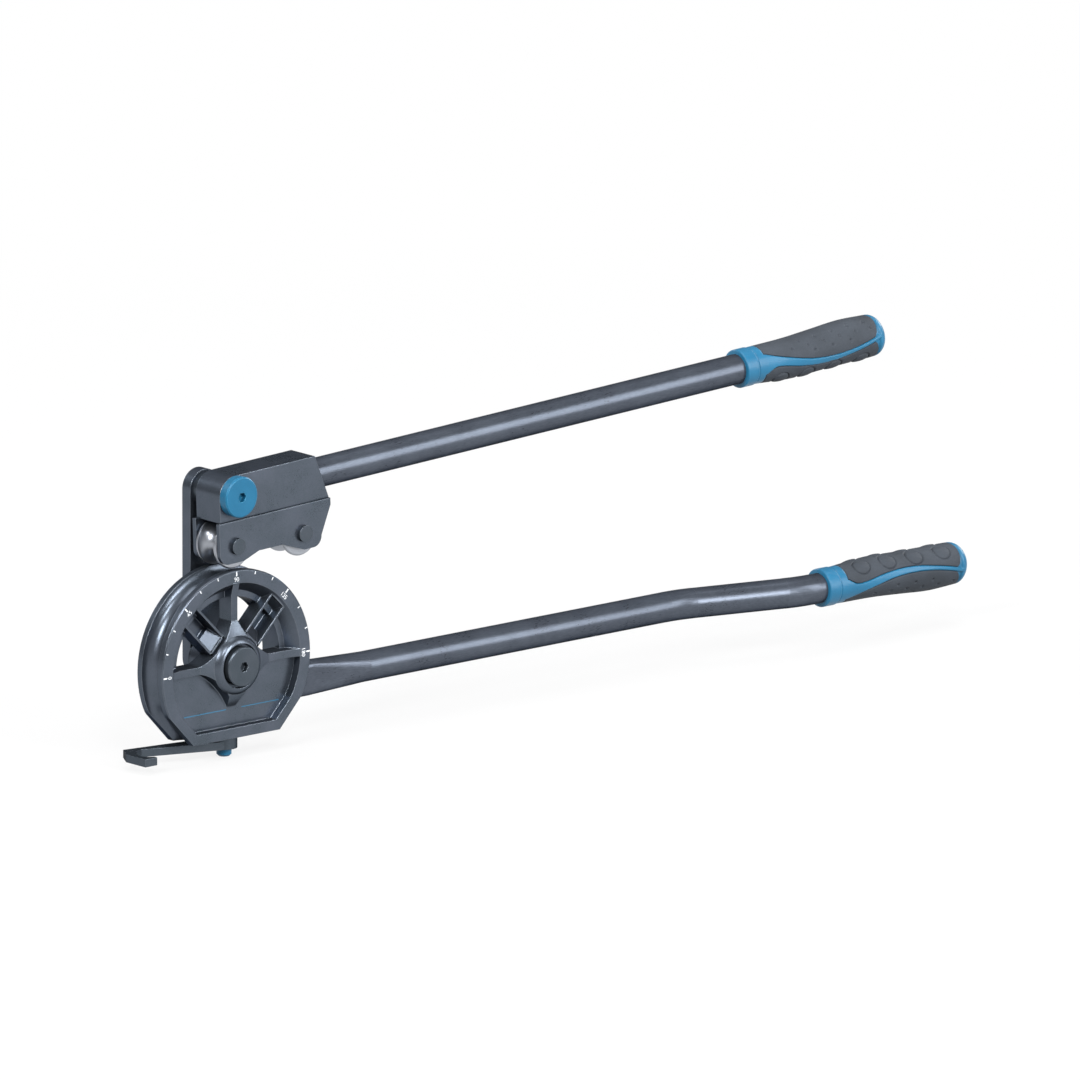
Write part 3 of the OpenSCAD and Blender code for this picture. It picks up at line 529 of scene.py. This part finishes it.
def star_shell():
    """Points and faces of the star: its face rises to the boss, its lower sides slope out to the panel."""
    front = star_outline(*STAR_FACE_LOW)
    base = star_outline(*STAR_BASE_LOW)
    around = np.arctan2(front[:, 1], front[:, 0])
    inner = np.stack([np.cos(around), np.sin(around)], 1) * (SEAT_R + 0.6)
    rings = []
    for share in np.linspace(0, 1, STAR_RINGS):
        flat = inner + (front - inner) * share
        r = np.hypot(*flat.T)
        rise = np.clip((r - BOSS_R) / (STAR_REACH - BOSS_R), 0, 1)
        rings.append((flat, BOSS_BASE_Y + (ARM_Y - BOSS_BASE_Y) * rise))
    panel = np.full(len(front), PANEL_Y + LAP)
    deep = np.full(len(front), SPOKE_BACK_Y)
    rings += [(base, panel), (base, deep), (inner, deep)]
    points = np.array([np.stack([f[:, 0], y, f[:, 1]], 1) for f, y in rings])
    n = len(front)
    faces = grid_faces(len(rings), n)
    last = (len(rings) - 1) * n
    faces += [(last + i, last + (i + 1) % n, (i + 1) % n, i) for i in range(n)]
    return points.reshape(-1, 3), faces


# Profiles of the spokes as (along, y). A plain one ramps up to the ring.
SPOKE_START, RAMP_START, SPOKE_END = 17, 46, 54.6
PLAIN_SPOKE = [
    (SPOKE_START, SPOKE_Y), (RAMP_START, SPOKE_Y), (SPOKE_END, WHEEL_FRONT_Y + LAP),
    (SPOKE_END, SPOKE_BACK_Y), (SPOKE_START, SPOKE_BACK_Y),
]


def oblong(start, end, first, second):
    """Corners of an oblong between two places one way and two the other."""
    return [(start, first), (end, first), (end, second), (start, second)]


# A box spoke has two side walls, an end wall, a thin floor and a foot that slopes down from the hub
BOX_START, BOX_END, BOX_HALF, BOX_WALL, BOX_Y = 20.0, 53.6, 7.8, 1.5, -10.9
FOOT_LEN, FOOT_DROP = 10, 7.5
BOX_BACK_Y = SPOKE_BACK_Y - LAP
BOX_SIDE = oblong(BOX_START, BOX_END, BOX_Y, SPOKE_BACK_Y)
BOX_CAP = oblong(BOX_END - BOX_WALL, BOX_END - LAP, BOX_Y, BOX_BACK_Y)
BOX_FLOOR = oblong(BOX_START + 1, BORE_R + 1, SPOKE_BACK_Y - BOX_WALL, BOX_BACK_Y)
BOX_FOOT = [
    (BOX_START, BOX_Y), (BOX_START + BOX_WALL, BOX_Y), (BOX_START + BOX_WALL + 0.3, BOX_Y + 1.2),
    (BOX_START + FOOT_LEN, BOX_Y + FOOT_DROP), (BOX_START + FOOT_LEN, SPOKE_BACK_Y),
    (BOX_START, SPOKE_BACK_Y),
]
# Profile of the boss as (radius, y): a rounded cone, the seat, the bore and the barrel
BOSS = [
    (BOSS_R, BOSS_BASE_Y + 1), (BOSS_R, BOSS_BASE_Y + 0.4), (18.8, -14.6), (17.9, -15.75), (16.9, -16.6),
    (15.9, -17.1), (15.1, -17.3), (14.75, -17.2), (SEAT_R, -16.9), (SEAT_R, SEAT_Y), (BUSH_R, SEAT_Y),
    (BUSH_R, HUB_BACK_Y), (BARREL_R, HUB_BACK_Y), (BARREL_R, BOSS_BASE_Y + 1),
]


def round_groove(mesh):
    """Gives the faces of the tube groove the exact normals of its round, so that its shine runs evenly."""
    normals = [corner.vector.copy() for corner in mesh.corner_normals]
    for face in mesh.polygons:
        points = [mesh.vertices[index].co / MM for index in face.vertices]
        inward = [Vector((p.x, 0, p.z)).normalized() * TUBE_AT_R - p for p in points]
        if all(abs(way.length - TUBE_GROOVE_R) < ON_FACE for way in inward):
            for loop, way in zip(face.loop_indices, inward):
                normals[loop] = way.normalized()
    mesh.normals_split_custom_set(normals)


def cut_hub(casting):
    """Cuts away what lies inside the ring, above the panel."""
    o = CUT_OVER
    well = raw_object("hub_cut", *revolved([
        (AXIS_R, -FAR_Y), (RING_R + o, -FAR_Y), (RING_R + o, WHEEL_FRONT_Y), (SLOPE_R + o, SLOPE_Y + o),
        (BORE_R + o, SLOPE_Y + o), (BORE_R + o, FAR_Y), (AXIS_R, FAR_Y)], CUT_STEPS))
    top = -HALF_SPOKE - o
    low_half = oblong(-FAR_R, FAR_R, -FAR_R, top)
    cut_away(well, raw_object("low_half", *prism(low_half, -2 * FAR_Y, 2 * FAR_Y)))
    cut_away(casting, well)


def cut_panel(casting):
    """Cuts the front of the panel down to its new level, inside its border."""
    o = CUT_OVER
    turn = np.radians(np.linspace(0, 360, CUT_STEPS, endpoint=False))
    outline = [((RING_R + o) * math.cos(a), (RING_R + o) * math.sin(a)) for a in turn]
    outline = clipped(outline, 0, 1, -HALF_SPOKE + o)
    outline = clipped(outline, 0, -1, FLAT_DROP - PANEL_BORDER + o)
    for side in (1, -1):
        outline = clipped(outline, side * SLANT[0], SLANT[1], SLANT[2] - PANEL_BORDER + o)
    cut_away(casting, raw_object("panel_cut", *prism(outline, -FAR_Y, PANEL_Y)))


def hub_shells():
    """Points and faces of the boss, the star and the spokes."""
    shells = [revolved(BOSS, BOSS_STEPS), star_shell()]
    for angle in (0, 90, 180):
        shells.append(spoke_bar(PLAIN_SPOKE, -HALF_SPOKE, HALF_SPOKE, angle))
    within = BOX_HALF - LAP
    for angle in (45, 135):
        shells.append(spoke_bar(BOX_SIDE, -BOX_HALF, BOX_WALL - BOX_HALF, angle))
        shells.append(spoke_bar(BOX_SIDE, BOX_HALF - BOX_WALL, BOX_HALF, angle))
        for profile in (BOX_FOOT, BOX_CAP, BOX_FLOOR):
            shells.append(spoke_bar(profile, -within, within, angle))
    return shells


def wheel_casting():
    """Makes the wheel that takes the place of the CAD one."""
    casting = bpy.data.objects.new("wheel_casting", nodes["forming_wheel"].data.copy())
    bpy.context.scene.collection.objects.link(casting)
    welded = bmesh.new()
    welded.from_mesh(casting.data)
    bmesh.ops.remove_doubles(welded, verts=welded.verts, dist=WELD * MM)
    welded.to_mesh(casting.data)
    welded.free()
    cut_hub(casting)
    cut_panel(casting)
    joined = bmesh.new()
    joined.from_mesh(casting.data)
    for points, faces in hub_shells():
        extra = raw_object("shell", points, faces)
        joined.from_mesh(extra.data)
        bpy.data.objects.remove(extra)
    joined.to_mesh(casting.data)
    joined.free()
    # The normals that came with the CAD mesh don't fit the new faces
    carried = casting.data.attributes.get("custom_normal")
    if carried:
        casting.data.attributes.remove(carried)
    casting.data.polygons.foreach_set("use_smooth", [True] * len(casting.data.polygons))
    casting.data.set_sharp_from_angle(angle=math.radians(SHARP_DEGREES))
    round_groove(casting.data)
    dress(casting, "cast_body")
    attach(casting, "wheel")
    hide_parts("forming_wheel")


wheel_casting()


# Printed marks

# How far a mark lies off its face, the ticks and numbers of the scale, and the stripe on the panel
PROUD = 0.06
TICK_STEP, NUMBER_STEP, SCALE_END = 15, 45, 180
TICK_OUTER, TICK_LEN, TICK_WIDTH = 62.2, 2.0, 0.7
LONG_TICK_LEN, LONG_TICK_WIDTH = 3.0, 1.0
NUMBER_R, NUMBER_HEIGHT = 56.8, 4.2
STRIPE_Z, STRIPE_WIDTH = -30.5, 0.5
STRIPE_SPANS = ((-40, -4), (9, 40.6))


def print_piece(name, outlines, y, slot):
    """Flat printed shapes, each an outline of (x, z) in millimetres, that lie on a face of the wheel."""
    points, faces = [], []
    for outline in outlines:
        faces.append(tuple(range(len(points), len(points) + len(outline))))
        points += [(x * MM, (y - PROUD) * MM, z * MM) for x, z in outline]
    mesh_piece(name, points, faces, "wheel", slot, smooth=False)


def radial_bar(angle, inner, outer, width):
    """Outline of a bar that lies along a radius; 0 degrees is on the left and 90 at the top."""
    a = math.radians(angle)
    out, side = (-math.cos(a), math.sin(a)), (math.sin(a), math.cos(a))
    return [(out[0] * r + side[0] * w, out[1] * r + side[1] * w)
            for r, w in ((inner, -width / 2), (inner, width / 2), (outer, width / 2), (outer, -width / 2))]


ticks = []
for degrees in range(0, SCALE_END + 1, TICK_STEP):
    numbered = degrees % NUMBER_STEP == 0
    length = LONG_TICK_LEN if numbered else TICK_LEN
    width = LONG_TICK_WIDTH if numbered else TICK_WIDTH
    ticks.append(radial_bar(degrees, TICK_OUTER - length, TICK_OUTER, width))
print_piece("angle_ticks", ticks, WHEEL_FRONT_Y, "mark_white")


def number_piece(text, angle):
    """A number that stands along the rim, its head outward."""
    curve = bpy.data.curves.new(f"number_{text}", "FONT")
    curve.body = text
    curve.size = NUMBER_HEIGHT * MM
    curve.align_x = "CENTER"
    curve.align_y = "CENTER"
    source = bpy.data.objects.new(f"number_{text}_outline", curve)
    bpy.context.scene.collection.objects.link(source)
    bpy.context.view_layer.update()
    mesh = bpy.data.meshes.new_from_object(source)
    bpy.data.objects.remove(source)
    a = math.radians(angle)
    stand = Matrix.Rotation(math.pi / 2, 4, "X")
    turn = Matrix.Rotation(a - math.pi / 2, 4, "Y")
    place = Vector((-math.cos(a) * NUMBER_R, WHEEL_FRONT_Y - PROUD, math.sin(a) * NUMBER_R)) * MM
    mesh.transform(Matrix.Translation(place) @ turn @ stand)
    obj = bpy.data.objects.new(f"angle_number_{text}", mesh)
    bpy.context.scene.collection.objects.link(obj)
    dress(obj, "mark_white")
    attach(obj, "wheel")


for degrees in range(0, SCALE_END + 1, NUMBER_STEP):
    number_piece(str(degrees), degrees)

stripes = [oblong(a, b, STRIPE_Z, STRIPE_Z + STRIPE_WIDTH) for a, b in STRIPE_SPANS]
print_piece("panel_stripe", stripes, PANEL_Y, "mark_blue")


# Floor, light and camera

# The photograph's own right, up and way to the camera, and its middle and width, in metres
RIGHT = Vector((0.7576, -0.6527, 0.0))
UP = Vector((0.1478, 0.1715, 0.974))
TOWARD = Vector((-0.6357, -0.7379, 0.2264))
TARGET = 0.2045 * RIGHT + 0.0783 * UP
VIEW_WIDTH = 0.707
# A very long lens, because the photograph is close to orthographic, and how far behind the target the
# view has that width
LENS, SENSOR = 1650.0, 36.0
MIDDLE_DEPTH = 0.25
CLIP_START, CLIP_END = 1.0, 200.0

FLOOR_HALF, FLOOR_GAP = 30.0, 0.0002
# The floor's share of plain white near the object and far off, and where it changes
NEAR, FAR, NEAR_WHITE, FAR_WHITE = 0.75, 1.5, 0.82, 1.0
LAMP_AWAY = 4.0
# Soft boxes: way to the right, up and towards the camera, then width and height in metres and radiance
LAMPS = {
    "key_softbox": ((0.94, 0.28, 0.19), 0.6, 2.6, 13),
    "right_softbox": ((0.69, 0.18, 0.7), 0.9, 1.8, 30),
    "left_softbox": ((-0.5, 0.37, 0.78), 1.2, 1.2, 28),
    "front_softbox": ((0.15, 0.45, 0.88), 0.8, 0.7, 38),
    "top_softbox": ((0.0, 1.0, 0.1), 3.0, 2.0, 4),
    "back_left_softbox": ((-0.75, 0.45, -0.5), 1.6, 1.4, 8),
    "back_right_softbox": ((0.6, 0.5, -0.65), 1.6, 1.4, 8),
}


def grey(level):
    """A neutral colour."""
    return (level, level, level, 1)


def shown(tree):
    """1 for the rays by which the camera, metal and glass see the background."""
    path = add(tree, "ShaderNodeLightPath")
    either = add(tree, "ShaderNodeMath", {"operation": "MAXIMUM"}, _0=path.outputs["Is Camera Ray"],
                 _1=path.outputs["Is Glossy Ray"])
    return add(tree, "ShaderNodeMath", {"operation": "MAXIMUM"}, _0=either.outputs[0],
               _1=path.outputs["Is Transmission Ray"]).outputs[0]


def floor():
    """A wide pale floor under the lowest point: it keeps the object's shadow, and turns white far off."""
    corners = oblong(-FLOOR_HALF, FLOOR_HALF, -FLOOR_HALF, FLOOR_HALF)
    mesh = bpy.data.meshes.new("floor")
    mesh.from_pydata([(x, y, 0) for x, y in corners], [], [(0, 1, 2, 3)])
    obj = bpy.data.objects.new("floor", mesh)
    bpy.context.scene.collection.objects.link(obj)
    obj.location = (TARGET.x, TARGET.y, cad_box[0][2] - FLOOR_GAP)
    material, tree, shader = new_material("floor_pale")
    where = add(tree, "ShaderNodeTexCoord").outputs["Object"]
    pale = blend(tree, noise(tree, where, 3.0), grey(0.56), grey(0.6))
    seen = shown(tree)
    # Darker for the light that it throws back on the object
    tree.links.new(blend(tree, seen, grey(0.2), pale), shader.inputs["Base Color"])
    shader.inputs["Roughness"].default_value = 0.9
    shader.inputs["Specular IOR Level"].default_value = 0.0
    off = add(tree, "ShaderNodeVectorMath", {"operation": "LENGTH"}, _0=where).outputs["Value"]
    share = add(tree, "ShaderNodeMath", {"operation": "MULTIPLY"}, _0=seen,
                _1=remap(tree, off, NEAR, FAR, NEAR_WHITE, FAR_WHITE)).outputs[0]
    white = add(tree, "ShaderNodeEmission", Color=grey(1), Strength=1.0)
    mix = add(tree, "ShaderNodeMixShader", _0=share, _1=shader.outputs[0], _2=white.outputs[0])
    tree.links.new(mix.outputs[0], tree.nodes["Material Output"].inputs["Surface"])
    obj.data.materials.append(material)


def studio():
    """A dim surround, a little brighter overhead."""
    world = bpy.data.worlds.new("studio")
    bpy.context.scene.world = world
    world.use_nodes = True
    tree = world.node_tree
    way = add(tree, "ShaderNodeTexCoord").outputs["Generated"]
    up = add(tree, "ShaderNodeSeparateXYZ", _0=way).outputs["Z"]
    low, high = (0.12, 0.12, 0.124, 1), (0.35, 0.35, 0.36, 1)
    shade = blend(tree, remap(tree, up, -0.2, 0.9, 0.0, 1.0), low, high)
    tree.links.new(shade, tree.nodes["Background"].inputs["Color"])
    tree.nodes["Background"].inputs["Strength"].default_value = 1.0


def area_light(name, toward, width, height, radiance):
    """A soft box that looks at the middle of the object."""
    light = bpy.data.lights.new(name, "AREA")
    light.shape = "RECTANGLE"
    light.size, light.size_y = width, height
    light.energy = radiance * math.pi * width * height
    obj = bpy.data.objects.new(name, light)
    bpy.context.scene.collection.objects.link(obj)
    way = RIGHT * toward[0] + UP * toward[1] + TOWARD * toward[2]
    obj.location = TARGET + way.normalized() * LAMP_AWAY
    obj.rotation_euler = (-way).to_track_quat("-Z", "Y").to_euler()


def photo_camera():
    """A camera that sees the object as the photograph does."""
    camera = bpy.data.cameras.new("camera")
    camera.lens, camera.sensor_width = LENS, SENSOR
    camera.clip_start, camera.clip_end = CLIP_START, CLIP_END
    obj = bpy.data.objects.new("camera", camera)
    bpy.context.scene.collection.objects.link(obj)
    turned = Matrix((RIGHT, UP, TOWARD)).transposed().to_4x4()
    away = VIEW_WIDTH * LENS / SENSOR - MIDDLE_DEPTH
    obj.matrix_world = Matrix.Translation(TARGET + TOWARD * away) @ turned
    bpy.context.scene.camera = obj


floor()
studio()
for name, (toward, width, height, radiance) in LAMPS.items():
    area_light(name, toward, width, height, radiance)
photo_camera()
bpy.context.scene.view_settings.view_transform = "Standard"
